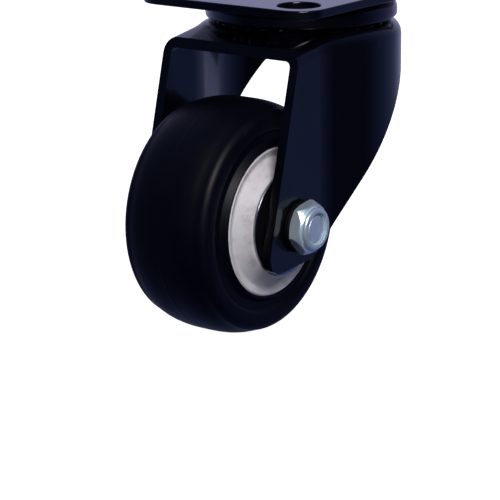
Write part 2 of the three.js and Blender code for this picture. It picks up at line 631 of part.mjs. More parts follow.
/** One bearing on the +Y side, as its ring, race and seal solids by name. */
function bearingParts() {
  const edge = 0.3;
  const race = (facing) =>
    groove(bearingPitchRadius, bearingMiddleY, BEARING_BALL_RADIUS, BEARING_BITE, facing);
  const sealOuterY = bearingFaceY - SEAL_RECESS;
  const sealInnerY = bearingInnerY + SEAL_RECESS;
  const seatDepth = SEAL_RECESS + SEAL_THICKNESS + SEAT_GAP;
  const outside = BEARING_RADIUS - SEAT_GAP;
  const outerRing = turnedY([
    [sealRadius, bearingInnerY],
    [outside - edge, bearingInnerY],
    [outside, bearingInnerY + edge],
    [outside, bearingFaceY - edge],
    [outside - edge, bearingFaceY],
    [sealRadius, bearingFaceY],
    [sealRadius, bearingFaceY - seatDepth],
    [outerLandRadius, bearingFaceY - seatDepth],
    ...race(0),
    [outerLandRadius, bearingInnerY + seatDepth],
    [sealRadius, bearingInnerY + seatDepth],
  ], BEARING_SEGMENTS);
  const innerRing = turnedY([
    [BEARING_BORE_RADIUS, bearingInnerY],
    [innerLandRadius, bearingInnerY],
    ...race(180),
    [innerLandRadius, bearingFaceY],
    [BEARING_BORE_RADIUS, bearingFaceY],
  ], BEARING_SEGMENTS);
  const seal = (from) => ringY(innerLandRadius + RUN_GAP, sealRadius - SEAT_GAP, from, from + SEAL_THICKNESS,
    BEARING_SEGMENTS);
  let cage = ringY(bearingPitchRadius - CAGE_WALL, bearingPitchRadius + CAGE_WALL,
    bearingMiddleY - CAGE_HALF_WIDTH, bearingMiddleY + CAGE_HALF_WIDTH, AXLE_SEGMENTS);
  for (let i = 0; i < BEARING_BALL_COUNT; i += 1) {
    const ball = new THREE.SphereGeometry(BEARING_BALL_RADIUS - RUN_GAP, BALL_COLUMNS, BALL_ROWS);
    ball.translate(bearingPitchRadius, bearingMiddleY, 0).rotateY((2 * Math.PI * i) / BEARING_BALL_COUNT);
    cage = cage.add(solid(ball));
  }
  return {
    bearing_outer_ring: [outerRing, RING_STEEL],
    bearing_inner_ring: [innerRing, RING_STEEL],
    bearing_cage_and_balls: [cage, BRASS_CAGE],
    bearing_outer_seal: [seal(sealOuterY - SEAL_THICKNESS), SEAL_RUBBER],
    bearing_inner_seal: [seal(sealInnerY), SEAL_RUBBER],
  };
}

// ---- Assembly -----------------------------------------------------------------------------------

const caster = new THREE.Group();

caster.add(
  piece('mounting_plate', mountingPlate(), BLACK_PAINT),
  piece('upper_raceway', upperRaceway(), BLACK_PAINT),
  piece('king_pin', kingPinSolid(0), BLACK_STEEL),
  piece('lower_raceway', lowerRaceway(), BLACK_PAINT),
  ...ballRing('upper_ball', UPPER_BALL_COUNT, UPPER_BALL_PITCH_RADIUS, upperBallZ, UPPER_BALL_RADIUS),
  ...ballRing('lower_ball', LOWER_BALL_COUNT, LOWER_BALL_PITCH_RADIUS, lowerBallZ, LOWER_BALL_RADIUS),
  piece('fork', fork(), BLACK_PAINT),
);

const axle = new THREE.Group();
axle.position.set(-TRAIL, 0, -AXLE_DROP);
caster.add(axle);

axle.add(
  piece('axle_bolt', axleBolt(), ZINC),
  piece('lock_nut', lockNut(), ZINC),
  piece('nut_insert', nutInsert(), NYLON),
  piece('nut_washer', washer(-1), BLACK_STEEL),
  piece('bolt_washer', washer(1), BLACK_STEEL),
  piece('axle_sleeve', axleSleeve(), RING_STEEL),
  piece('wheel_hub', wheelHub(), HUB_PLASTIC),
  piece('tyre', tyre(), TYRE_RUBBER),
);

for (const [label, side] of [['nut_side', -1], ['head_side', 1]]) {
  axle.add(piece(`${label}_spacer`, bearingSpacer(side), RING_STEEL));
  for (const [name, [shape, material]] of Object.entries(bearingParts())) {
    const placed = side > 0 ? shape : shape.rotate([180, 0, 0]);
    axle.add(piece(`${label}_${name}`, placed, material));
  }
}

export default caster;
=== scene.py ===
# %% [markdown]
# # A swivel plate caster
# A caster is a small machine: a plate that is bolted under a chair, two rings of loose balls, a fork pressed
# from one sheet of steel, and a wheel on a bolted axle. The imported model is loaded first, because it fixes
# where every piece goes. The pieces made here are finer versions of its solids and sit in the same places.

# %% Load the frame
import json
import math

import bmesh
import bpy
from mathutils import Matrix, Vector


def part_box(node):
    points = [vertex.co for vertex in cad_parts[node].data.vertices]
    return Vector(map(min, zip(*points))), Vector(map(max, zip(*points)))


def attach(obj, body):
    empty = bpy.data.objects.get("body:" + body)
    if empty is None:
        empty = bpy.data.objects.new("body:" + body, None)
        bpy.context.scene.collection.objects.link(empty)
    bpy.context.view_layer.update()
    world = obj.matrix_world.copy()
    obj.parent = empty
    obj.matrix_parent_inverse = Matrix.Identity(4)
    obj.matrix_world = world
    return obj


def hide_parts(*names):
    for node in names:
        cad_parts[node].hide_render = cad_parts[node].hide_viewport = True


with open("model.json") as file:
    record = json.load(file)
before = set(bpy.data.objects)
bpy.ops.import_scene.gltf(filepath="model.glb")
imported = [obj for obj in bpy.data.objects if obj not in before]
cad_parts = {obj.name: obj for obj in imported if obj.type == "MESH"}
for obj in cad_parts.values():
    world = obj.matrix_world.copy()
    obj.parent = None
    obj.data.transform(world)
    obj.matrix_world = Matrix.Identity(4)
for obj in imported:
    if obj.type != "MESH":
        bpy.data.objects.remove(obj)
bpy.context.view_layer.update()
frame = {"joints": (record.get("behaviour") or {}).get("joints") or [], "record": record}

# %% [markdown]
# Lengths below are in millimetres, as on a drawing, and each piece is scaled to metres once, when it is
# finished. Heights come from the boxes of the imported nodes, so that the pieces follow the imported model.

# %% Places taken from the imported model
MM = 0.001
joints = {joint["name"]: joint for joint in frame["joints"]}
AXLE = Vector(joints["wheel_spin"]["pos_m"]) / MM


def low_high(node):
    low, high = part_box(node)
    return low / MM, high / MM


PLATE_LOW, PLATE_HIGH = low_high("mounting_plate")
CUP_LOW, CUP_HIGH = low_high("upper_raceway")
DISH_LOW, DISH_HIGH = low_high("lower_raceway")
FORK_LOW, FORK_HIGH = low_high("fork")
PIN_LOW, PIN_HIGH = low_high("king_pin")
TYRE_LOW, TYRE_HIGH = low_high("tyre")
BALL_LOW, BALL_HIGH = low_high("upper_ball_01")
SMALL_LOW, SMALL_HIGH = low_high("lower_ball_01")
NUT_LOW, _ = low_high("lock_nut")
BOLT_LOW, BOLT_HIGH = low_high("axle_bolt")
print("axle at", tuple(round(v, 2) for v in AXLE), "fork roof at", round(FORK_HIGH.z, 2))

# %% [markdown]
# ## Camera
# A long lens from a little above and in front of the wheel, on the side of the lock nut. It stands on a line
# from the wheel's centre, and its own direction is given apart from that line, which frames the caster off
# centre without any lens shift.

# %% Camera


def sight(azimuth, elevation):
    """Direction from the object towards a camera at that azimuth and elevation, in degrees."""
    a, e = math.radians(azimuth), math.radians(elevation)
    return Vector((math.sin(a) * math.cos(e), -math.cos(a) * math.cos(e), math.sin(e)))


camera_data = bpy.data.cameras.new("camera")
camera_data.sensor_width = 36
camera_data.lens = 155.4
camera = bpy.data.objects.new("camera", camera_data)
back = sight(-53.01, 15.73)
turn = back.to_track_quat("Z", "Y").to_matrix() @ Matrix.Rotation(math.radians(-0.64), 3, "Z")
camera.matrix_world = Matrix.Translation((AXLE + sight(-52.52, 14.76) * 454.94) * MM) @ turn.to_4x4()
camera_data.clip_start, camera_data.clip_end = 0.01, 50
bpy.context.scene.collection.objects.link(camera)
bpy.context.scene.camera = camera
print("camera at", tuple(round(v, 3) for v in camera.location))

# %% [markdown]
# ## Shader expressions
# A material is a small calculation that is done at every point of a surface. Written as nodes it is long to
# read, so two helpers let it be written as sums: one wraps a socket and overloads the operators, and the other
# holds a material and makes any node from its type, its settings and its sockets.

# %% Shader helpers


class Value:
    """A node's output socket, on which ordinary arithmetic adds Math nodes."""

    def __init__(self, finish, socket):
        self.finish, self.socket = finish, socket

    def math(self, operation, *values):
        return self.finish.node("ShaderNodeMath", {"operation": operation}, dict(enumerate(values)))

    def __add__(self, other):
        return self.math("ADD", self, other)

    def __radd__(self, other):
        return self.math("ADD", other, self)

    def __sub__(self, other):
        return self.math("SUBTRACT", self, other)

    def __rsub__(self, other):
        return self.math("SUBTRACT", other, self)

    def __mul__(self, other):
        return self.math("MULTIPLY", self, other)

    def __rmul__(self, other):
        return self.math("MULTIPLY", other, self)


class Finish:
    """A material for one finish, made of nodes."""

    def __init__(self, name, **constants):
        self.material = bpy.data.materials.new(name)
        self.material.use_nodes = True
        self.tree = self.material.node_tree
        self.shader = self.tree.nodes["Principled BSDF"]
        for socket, value in constants.items():
            self.shader.inputs[socket.replace("_", " ")].default_value = value

    def node(self, kind, settings=None, sockets=None, output=0):
        made = self.tree.nodes.new(kind)
        for name, value in (settings or {}).items():
            if name == "stops":
                ramp = made.color_ramp
                while len(ramp.elements) < len(value):
                    ramp.elements.new(0.5)
                for element, (place, colour) in zip(ramp.elements, value):
                    element.position, element.color = place, (*colour, 1)
            else:
                setattr(made, name, value)
        for name, value in (sockets or {}).items():
            self.put(made.inputs[name], value)
        return Value(self, made.outputs[output])

    def put(self, socket, value):
        if isinstance(value, Value):
            self.tree.links.new(value.socket, socket)
        else:
            socket.default_value = value

    def set(self, **values):
        for name, value in values.items():
            self.put(self.shader.inputs[name.replace("_", " ")], value)

    def place(self):
        """Object coordinates, in metres."""
        return self.node("ShaderNodeTexCoord", output="Object")

    def noise(self, size_mm, detail=2, roughness=0.5, vector=None):
        """Noise from 0 to 1 with features of that size."""
        return self.node(
            "ShaderNodeTexNoise",
            {},
            {
                "Vector": vector or self.place(),
                "Scale": 1000 / size_mm,
                "Detail": detail,
                "Roughness": roughness,
            },
            output=0,
        )

    def mix(self, share, first, second):
        """A colour between two colours."""
        made = self.tree.nodes.new("ShaderNodeMix")
        made.data_type = "RGBA"
        for index, value in ((0, share), (6, first), (7, second)):
            self.put(made.inputs[index], value if isinstance(value, (Value, float)) else (*value, 1))
        return Value(self, made.outputs[2])

    def bump(self, height, depth_mm, strength=1.0):
        """A normal from a height of 0 to 1 that stands for that many millimetres."""
        return self.node(
            "ShaderNodeBump",
            {},
            {"Height": height, "Distance": depth_mm * MM, "Strength": strength},
        )


print("helpers ready")

# %% [markdown]
# ## Black paint
# The plate, both ball cups and the fork have a thin, glossy electro-coat. It flows out almost flat and leaves a
# faint waviness, which painters call orange peel: without it, reflections on flat sheet look computed.

# %% Finish: black paint
paint = Finish("black_paint", Coat_Roughness=0.06, Specular_IOR_Level=0.45)
peel = paint.noise(1.7, detail=1)
patches = paint.noise(9, detail=3)
paint.set(
    Base_Color=paint.mix(patches, (0.0006, 0.0008, 0.0022), (0.0012, 0.0015, 0.0036)),
    Roughness=0.17 + 0.08 * patches,
    Coat_Weight=0.35 + 0.15 * patches,
    Normal=paint.bump(peel, 0.012),
)
print(paint.material.name, len(paint.tree.nodes), "nodes")

# %% [markdown]
# ## Polyurethane tread and plastic hub
# The tread is moulded polyurethane: smooth but not glossy, with a soft, wide highlight. The hub is white nylon
# that has turned slightly grey, with faint stains from handling.

# %% Finish: tread and hub
tread_finish = Finish("black_tyre", Specular_IOR_Level=0.16)
cloud = tread_finish.noise(6, detail=4)
grain = tread_finish.noise(0.35, detail=2)
tread_finish.set(
    Base_Color=tread_finish.mix(cloud, (0.0005, 0.0008, 0.0030), (0.0012, 0.0016, 0.0052)),
    Roughness=0.38 + 0.12 * cloud,
    Normal=tread_finish.bump(grain, 0.006),
)

hub_finish = Finish("white_hub", Subsurface_Weight=0.05, Specular_IOR_Level=0.3)
hub_finish.shader.inputs["Subsurface Radius"].default_value = (0.001, 0.0008, 0.0006)
stain = hub_finish.noise(3.5, detail=5, roughness=0.65)
skin = hub_finish.noise(0.5, detail=2)
ramp = hub_finish.node(
    "ShaderNodeValToRGB",
    {"stops": [(0.30, (0.44, 0.40, 0.40)), (0.5, (0.58, 0.56, 0.57)), (0.8, (0.64, 0.62, 0.62))]},
    {"Fac": stain},
)
hub_finish.set(
    Base_Color=ramp,
    Roughness=0.42 + 0.12 * stain,
    Normal=hub_finish.bump(skin, 0.01),
)
print(tread_finish.material.name, hub_finish.material.name)

# %% [markdown]
# ## Bare and plated steel
# Zinc plate is bright and slightly blue, with a cloudy sheen. Balls and bearing rings are ground steel. The
# washers are near-black and matte, which is painted shade: they stand for the dark patch that the nut leaves in
# the glossy leg's reflection. One helper makes all of these metals, because only colour, gloss and grain differ.

# %% Finishes: metals


def metal(name, dark, light, roughness, spread, grain_mm=0.6, depth_mm=0.004, metallic=1.0):
    """A metal whose colour and gloss drift between two values."""
    made = Finish(name, Metallic=metallic)
    drift = made.noise(2.2, detail=4, roughness=0.6)
    scratches = made.noise(grain_mm, detail=3)
    made.set(
        Base_Color=made.mix(drift, dark, light),
        Roughness=roughness + spread * drift,
        Normal=made.bump(scratches, depth_mm),
    )
    return made


zinc = metal("zinc_plate", (0.62, 0.76, 0.84), (0.86, 0.97, 1.0), 0.26, 0.18, metallic=0.72)
ball_steel = metal("ball_steel", (0.30, 0.31, 0.34), (0.48, 0.50, 0.54), 0.14, 0.10)
ring_steel = metal("ring_steel", (0.36, 0.37, 0.40), (0.58, 0.60, 0.64), 0.16, 0.16)
# Near-black and matte. On the washers this is painted shade for the dark patch that the nut leaves in the leg's
# reflection.
black_steel = metal("black_steel", (0.0008, 0.0008, 0.0015), (0.002, 0.002, 0.003), 0.5, 0.15, metallic=0.0)
black_steel.set(Specular_IOR_Level=0.15)
brass = metal("cage_brass", (0.42, 0.30, 0.12), (0.62, 0.46, 0.20), 0.28, 0.15)
rubber = metal("seal_rubber", (0.002, 0.002, 0.003), (0.004, 0.004, 0.006), 0.42, 0.16, metallic=0.0)
rubber.set(Specular_IOR_Level=0.15)
nylon = metal("nylon", (0.30, 0.38, 0.48), (0.46, 0.54, 0.62), 0.35, 0.10, metallic=0.0)
print("finishes so far:", [material.name for material in bpy.data.materials])

# %% [markdown]
# ## Turned pieces
# Cups, pins, washers, bearing rings, the hub and the tyre are all round about one axis. Half of the piece's
# section is drawn as a closed line and spun once round. A narrow bevel then breaks the sharp edges, as a
# tumbling barrel or a mould does, and catches light along each edge.

# %% Helpers for turned pieces


def finish_piece(bm, name, finish, body, replaced, edge=0.0, steps=2, angle=30):
    """Turns a bmesh in millimetres into a finished piece in metres that rides on a body."""
    bmesh.ops.remove_doubles(bm, verts=bm.verts, dist=1e-5)
    bmesh.ops.recalc_face_normals(bm, faces=bm.faces)
    bmesh.ops.scale(bm, vec=(MM, MM, MM), verts=bm.verts)
    for face in bm.faces:
        face.smooth = True
    for line in bm.edges:
        line.smooth = not line.is_manifold or line.calc_face_angle(0) < math.radians(angle)
    mesh = bpy.data.meshes.new(name)
    bm.to_mesh(mesh)
    bm.free()
    piece = bpy.data.objects.new(name, mesh)
    bpy.context.scene.collection.objects.link(piece)
    if edge:
        bevel = piece.modifiers.new("broken_edges", "BEVEL")
        bevel.width, bevel.segments = edge * MM, steps
        bevel.limit_method, bevel.angle_limit = "ANGLE", math.radians(angle)
        bevel.harden_normals = True
    piece.data.materials.append(finish.material)
    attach(piece, body)
    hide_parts(*replaced)
    print(f"{name}: {len(mesh.polygons)} faces, rides on {body}")
    return piece


def spun(bm, section, axis="Y", centre=(0, 0, 0), steps=96):
    """Adds a ring to a bmesh: a closed section of (radius, height) points turned about an axis."""
    up = Vector((0, 1, 0)) if axis == "Y" else Vector((0, 0, 1))
    centre = Vector(centre)
    points = [bm.verts.new(centre + Vector((r, 0, 0)) + up * h) for r, h in section]
    lines = [bm.edges.new((a, b)) for a, b in zip(points, points[1:])]
    if min(section[0][0], section[-1][0]) > 1e-6:
        lines.append(bm.edges.new((points[-1], points[0])))
    bmesh.ops.spin(
        bm, geom=points + lines, cent=centre, axis=up, angle=2 * math.pi, steps=steps, use_merge=True
    )
    bmesh.ops.remove_doubles(bm, verts=bm.verts, dist=1e-5)


def curve(x, y, radius, start, end, steps=6):
    """Points of an arc in a section, angles in degrees."""
    angles = [math.radians(start + (end - start) * i / steps) for i in range(steps + 1)]
    return [(x + radius * math.cos(a), y + radius * math.sin(a)) for a in angles]


def turned(name, section, finish, body, replaced, axis="Y", centre=(0, 0, 0), steps=96, edge=0.12):
    bm = bmesh.new()
    spun(bm, section, axis, centre, steps)
    return finish_piece(bm, name, finish, body, replaced, edge)


print("turning helpers ready")

# %% [markdown]
# ## Mounting plate
# A stamped rectangle with rounded corners and four bolt holes. Its outline and holes are drawn as loops, the
# area between them is filled, and that face is extruded down. The bevel stands for the rounded stamped edge.

# %% Mounting plate
PLATE_CORNER = 6.0
HOLE_RADIUS = 4.5
HOLE_MARGIN = 7.0
PIN_RADIUS = 4.0


def rounded_loop(bm, corners, steps=8):
    """A flat face through (x, y, radius) corners, each rounded by its radius."""
    verts = [bm.verts.new((x, y, 0)) for x, y, _ in corners]
    bm.faces.new(verts)
    for vert, (_, _, radius) in zip(verts, corners):
        if radius:
            a, b = [line.other_vert(vert).co - vert.co for line in vert.link_edges]
            reach = radius / math.tan(a.angle(b) / 2)
            bmesh.ops.bevel(
                bm,
                geom=[vert],
                offset=reach,
                offset_type="OFFSET",
                affect="VERTICES",
                segments=steps,
                profile=0.5,
                material=-1,
            )


bm = bmesh.new()
half_x, half_y = PLATE_HIGH.x, PLATE_HIGH.y
rounded_loop(
    bm, [(sx * half_x, sy * half_y, PLATE_CORNER) for sx, sy in ((-1, -1), (1, -1), (1, 1), (-1, 1))]
)
bmesh.ops.delete(bm, geom=list(bm.faces), context="FACES_ONLY")
for sx in (-1, 1):
    for sy in (-1, 1):
        spot = Matrix.Translation((sx * (half_x - HOLE_MARGIN), sy * (half_y - HOLE_MARGIN), 0))
        bmesh.ops.create_circle(bm, segments=48, radius=HOLE_RADIUS, cap_ends=False, matrix=spot)
bmesh.ops.create_circle(bm, segments=64, radius=PIN_RADIUS, cap_ends=False)
bmesh.ops.triangle_fill(bm, edges=list(bm.edges), use_beauty=True, use_dissolve=True)
top = list(bm.faces)
pushed = bmesh.ops.extrude_face_region(bm, geom=top)["geom"]
down = [v for v in pushed if isinstance(v, bmesh.types.BMVert)]
bmesh.ops.translate(bm, vec=(0, 0, PLATE_LOW.z - PLATE_HIGH.z), verts=down)
finish_piece(
    bm, "plate", paint, "plate_head", ["mounting_plate"], edge=0.3, steps=3
)

# %% [markdown]
# ## Swivel head
# The upper cup is pressed from sheet, so its rim has a generous outer radius. The lower cup is a small dish
# under the fork's roof, and the king pin holds the stack together: its head is flush with the plate and its
# lower end is riveted over. All are turned about the swivel axis.

# %% Swivel head
CUP_RADIUS = CUP_HIGH.x
CUP_BEND = 3.0
CUP_WALL = 1.5
PIN_HOLE = 4.05
DISH_WALL = 1.0
DISH_BEND = 1.6
UPPER_PITCH = 16.8
LOWER_PITCH = 8.5
UPPER_BALL = 2.0
BALL_BITE = 0.17
cup_face = BALL_HIGH.z - BALL_BITE
turned(
    "upper_cup",
    [
        (PIN_HOLE, cup_face),
        (15.5, cup_face),
        *curve(UPPER_PITCH, BALL_HIGH.z - UPPER_BALL, UPPER_BALL + 0.1, 125, 55, 6),
        (CUP_RADIUS - CUP_WALL - 1.0, cup_face),
        (CUP_RADIUS - CUP_WALL, cup_face - 1.0),
        (CUP_RADIUS - CUP_WALL, CUP_LOW.z + 0.3),
        *curve(CUP_RADIUS - 0.7, CUP_LOW.z + 0.7, 0.7, -120, 0, 6),
        *curve(CUP_RADIUS - CUP_BEND, CUP_HIGH.z - CUP_BEND, CUP_BEND, 0, 90, 10),
        (PIN_HOLE, CUP_HIGH.z),
    ],
    paint,
    "plate_head",
    ["upper_raceway"],
    axis="Z",
    steps=144,
    edge=0,
)
turned(
    "lower_cup",
    [
        (PIN_HOLE, DISH_LOW.z),
        *curve(DISH_HIGH.x - DISH_BEND, DISH_LOW.z + DISH_BEND, DISH_BEND, -90, 0, 6),
        (DISH_HIGH.x, DISH_HIGH.z),
        (DISH_HIGH.x - DISH_WALL, DISH_HIGH.z),
        (DISH_HIGH.x - DISH_WALL, DISH_LOW.z + CUP_WALL),
        (PIN_HOLE, DISH_LOW.z + CUP_WALL),
    ],
    paint,
    "plate_head",
    ["lower_raceway"],
    axis="Z",
)
rivet_top = DISH_LOW.z - 0.05
turned(
    "king_pin_riveted",
    [
        (0, PIN_LOW.z),
        (2.0, PIN_LOW.z),
        *curve(5.0, PIN_LOW.z + 1.4, 1.4, -90, 0, 6),
        (6.4, rivet_top),
        (PIN_RADIUS, rivet_top),
        (PIN_RADIUS, PLATE_LOW.z),
        (PIN_RADIUS, PIN_HIGH.z - 0.1),
        (3.4, PIN_HIGH.z),
        (0, PIN_HIGH.z),
    ],
    black_steel,
    "plate_head",
    ["king_pin"],
    axis="Z",
    steps=64,
)

# %% [markdown]
# ## Loose balls
# Two rings of polished balls carry the load. Each ring turns at half of the fork's speed, so it rides on a
# body of its own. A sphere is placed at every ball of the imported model.

# %% Loose balls


def balls(name, nodes, radius, pitch, body):
    """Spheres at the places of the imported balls, on their exact pitch circle."""
    bm = bmesh.new()
    for node in nodes:
        low, high = low_high(node)
        middle = (low + high) / 2
        reach = math.hypot(middle.x, middle.y)
        centre = Vector((middle.x * pitch / reach, middle.y * pitch / reach, middle.z))
        bmesh.ops.create_icosphere(bm, subdivisions=3, radius=radius, matrix=Matrix.Translation(centre))
    return finish_piece(bm, name, ball_steel, body, nodes)


groups = frame["record"]["behaviour"]["bodies"]
upper_radius = (BALL_HIGH.z - BALL_LOW.z) / 2
lower_radius = (SMALL_HIGH.z - SMALL_LOW.z) / 2
balls("upper_balls", groups["upper_ball_set"], upper_radius, UPPER_PITCH, "upper_ball_set")
balls("lower_balls", groups["lower_ball_set"], lower_radius, LOWER_PITCH, "lower_ball_set")

# %% [markdown]
# ## Fork
# One sheet of steel is drawn into a dome, a hood and two legs. The plan of the bend line is drawn first: a round
# crown whose flanks run straight to a soft crease, where they meet the flat legs. Extruded down and bevelled
# along its top edge, it is the outside of the sheet. Rows of cuts let the hood sink below the dome, Solidify
# gives the sheet its thickness, and a block with the fork's side outline trims the legs.

# %% Fork sheet
SHEET = 2.1
BEND = 3.3
DOME_RADIUS = FORK_HIGH.x
LEG_HALF = 17.5
CREASE_X = -15.9
HOOD_FRONT_X = -24.8
HOOD_DROP = 2.0
HOOD_SLOPE = 0.156
HOOD_BLEND = 2.5
ROOF = FORK_HIGH.z
RACE_RADIUS = 18.8
RACE_STEP = 2.2
FORK_BLOCK_BOTTOM = FORK_LOW.z - 6
FORK_BLOCK_FRONT = -46.0
CREASE_ROUND = 2.2


def cut_rows(bm, across, first, last, count):
    """Cuts a shell at even steps across a direction."""
    for i in range(count + 1):
        bmesh.ops.bisect_plane(
            bm,
            geom=list(bm.verts) + list(bm.edges) + list(bm.faces),
            dist=1e-5,
            plane_co=Vector(across) * (first + (last - first) * i / count),
            plane_no=across,
        )


def soft_step(value, start, width):
    """0 before start, 1 after start + width, and a smooth rise between."""
    share = min(1.0, max(0.0, (value - start) / width))
    return share * share * (3 - 2 * share)


def hood_fall(x, y):
    """How far the roof lies below the dome's top: none over the dome and the round race, then a slope."""
    past = HOOD_FRONT_X + HOOD_DROP / HOOD_SLOPE - x
    if past <= -HOOD_BLEND:
        return 0.0
    if past >= HOOD_BLEND:
        fall = HOOD_SLOPE * past
    else:
        fall = HOOD_SLOPE * (past + HOOD_BLEND) ** 2 / (4 * HOOD_BLEND)
    return fall * soft_step(math.hypot(x, y), RACE_RADIUS, RACE_STEP)


bm = bmesh.new()
reach = math.hypot(CREASE_X, LEG_HALF)
flank = math.atan2(LEG_HALF, CREASE_X) - math.acos(DOME_RADIUS / reach)
crown = [
    bm.verts.new((DOME_RADIUS * math.cos(a), DOME_RADIUS * math.sin(a), ROOF))
    for a in [flank - 2 * flank * i / 72 for i in range(73)]
]
corners = [
    bm.verts.new((x, y, ROOF))
    for x, y in (
        (CREASE_X, -LEG_HALF),
        (FORK_BLOCK_FRONT, -LEG_HALF),
        (FORK_BLOCK_FRONT, LEG_HALF),
        (CREASE_X, LEG_HALF),
    )
]
bm.faces.new(crown + corners)
for vert in (corners[0], corners[3]):
    bmesh.ops.bevel(
        bm, geom=[vert], offset=CREASE_ROUND, affect="VERTICES", segments=8, profile=0.5, material=-1
    )
sides = bmesh.ops.extrude_face_region(bm, geom=list(bm.faces))["geom"]
lower = [v for v in sides if isinstance(v, bmesh.types.BMVert)]
bmesh.ops.translate(bm, vec=(0, 0, FORK_BLOCK_BOTTOM - ROOF), verts=lower)
bm.faces.ensure_lookup_table()
bmesh.ops.recalc_face_normals(bm, faces=bm.faces)
open_faces = []
for face in bm.faces:
    at = face.calc_center_median()
    if at.z < FORK_BLOCK_BOTTOM + 0.1 or at.x < FORK_BLOCK_FRONT + 0.1:
        open_faces.append(face)
bmesh.ops.delete(bm, geom=open_faces, context="FACES")
rim = [
    line
    for line in bm.edges
    if len(line.link_faces) == 2 and all(abs(vert.co.z - ROOF) < 1e-4 for vert in line.verts)
]
bmesh.ops.bevel(
    bm, geom=rim, offset=BEND, affect="EDGES", segments=8, profile=0.5, material=-1, clamp_overlap=False
)
cut_rows(bm, (1, 0, 0), HOOD_FRONT_X - 3.2, CREASE_X + 3.9, 30)
cut_rows(bm, (0, 1, 0), -14, 14, 28)
for vert in bm.verts:
    vert.co.z -= hood_fall(vert.co.x, vert.co.y)
bmesh.ops.remove_doubles(bm, verts=bm.verts, dist=1e-4)
bmesh.ops.recalc_face_normals(bm, faces=bm.faces)
top_face = max(bm.faces, key=lambda f: f.calc_area() if f.normal.z ** 2 > 0.9 else 0)
if top_face.normal.z < 0:
    bmesh.ops.reverse_faces(bm, faces=bm.faces)
sheet_mesh = bpy.data.meshes.new("fork_sheet")
bm.to_mesh(sheet_mesh)
bm.free()
fork_sheet = bpy.data.objects.new("fork_sheet", sheet_mesh)
bpy.context.scene.collection.objects.link(fork_sheet)
print("fork sheet:", len(sheet_mesh.polygons), "faces")

# %% Fork outline
TIP_DROP = 9.2
TIP_RISE = 1.4
FRONT_LEAN = 0.265
REAR_EDGE = 13.2
REAR_SLOPE = 1.166
SKIRT_DEPTH = 9.5


def front_x(z):
    return HOOD_FRONT_X + FRONT_LEAN * (z - ROOF + HOOD_DROP)


def rear_x(z):
    return AXLE.x + REAR_EDGE + (z - AXLE.z) / REAR_SLOPE


tip_z = AXLE.z - TIP_DROP
skirt_z = ROOF - SKIRT_DEPTH
bm = bmesh.new()
rounded_loop(
    bm,
    [
        (front_x(5), 5, 0),
        (front_x(tip_z), tip_z, 4),
        (rear_x(tip_z + TIP_RISE), tip_z + TIP_RISE, 7),
        (rear_x(skirt_z), skirt_z, SKIRT_DEPTH),
        (30, skirt_z, 0),
        (30, 5, 0),
    ],
)
side = bmesh.ops.extrude_face_region(bm, geom=list(bm.faces))["geom"]
bmesh.ops.translate(bm, vec=(0, 0, 60), verts=[v for v in side if isinstance(v, bmesh.types.BMVert)])
bmesh.ops.translate(bm, vec=(0, 0, -30), verts=bm.verts)
bmesh.ops.rotate(bm, cent=(0, 0, 0), matrix=Matrix.Rotation(math.pi / 2, 3, "X"), verts=bm.verts)
bmesh.ops.recalc_face_normals(bm, faces=bm.faces)
outline_mesh = bpy.data.meshes.new("fork_outline")
bm.to_mesh(outline_mesh)
bm.free()
fork_outline = bpy.data.objects.new("fork_outline", outline_mesh)
bpy.context.scene.collection.objects.link(fork_outline)

bm = bmesh.new()
bmesh.ops.create_cone(
    bm,
    cap_ends=True,
    segments=48,
    radius1=3.2,
    radius2=3.2,
    depth=50,
    matrix=Matrix.Translation((AXLE.x, 0, AXLE.z)) @ Matrix.Rotation(math.pi / 2, 4, "X"),
)
bmesh.ops.create_cone(
    bm,
    cap_ends=True,
    segments=48,
    radius1=4.5,
    radius2=4.5,
    depth=8,
    matrix=Matrix.Translation((0, 0, ROOF - 1)),
)
holes_mesh = bpy.data.meshes.new("fork_holes")
bm.to_mesh(holes_mesh)
bm.free()
fork_holes = bpy.data.objects.new("fork_holes", holes_mesh)
bpy.context.scene.collection.objects.link(fork_holes)


def carved(body_object, *steps):
    """The mesh of an object after Solidify and Boolean steps, as a bmesh. Removes the helpers used."""
    for kind, other in steps:
        if kind == "SOLIDIFY":
            wall = body_object.modifiers.new("wall", "SOLIDIFY")
            wall.thickness, wall.offset, wall.use_even_offset = other, -1, True
        else:
            cut = body_object.modifiers.new("cut", "BOOLEAN")
            cut.operation, cut.object, cut.solver = kind, other, "EXACT"
    bpy.context.view_layer.update()
    evaluated = body_object.evaluated_get(bpy.context.evaluated_depsgraph_get())
    result = bmesh.new()
    result.from_mesh(evaluated.to_mesh())
    evaluated.to_mesh_clear()
    for helper in [body_object] + [other for kind, other in steps if kind != "SOLIDIFY"]:
        mesh = helper.data
        bpy.data.objects.remove(helper)
        bpy.data.meshes.remove(mesh)
    return result


bm = carved(fork_sheet, ("SOLIDIFY", SHEET), ("INTERSECT", fork_outline), ("DIFFERENCE", fork_holes))
finish_piece(
    bm, "fork_pressing", paint, "fork_assembly", ["fork"], edge=0.3, steps=3, angle=40
)

# %% [markdown]
# ## Bolt, lock nut and washers
# A hexagon is a six-sided prism whose corners are cut by a cone, which leaves the curved edges that a real
# nut shows. The prism and the cone are made apart and only what lies in both is kept. The lock nut's round
# collar holds a nylon ring, and the bolt's end stands just inside it.

# %% Hexagons
HEX_ACROSS_FLATS = 10.0
WASHER_OUTSIDE = 18.55
WASHER_HOLE = 3.2
WASHER_RADIUS = 5.5
NUT_BASE = 18.6
NUT_END = -NUT_LOW.y
BOLT_END = -BOLT_LOW.y
HEAD_END = BOLT_HIGH.y


def loose(name, build):
    """A helper object that is not kept."""
    bm = bmesh.new()
    build(bm)
    bmesh.ops.recalc_face_normals(bm, faces=bm.faces)
    mesh = bpy.data.meshes.new(name)
    bm.to_mesh(mesh)
    bm.free()
    made = bpy.data.objects.new(name, mesh)
    bpy.context.scene.collection.objects.link(made)
    return made


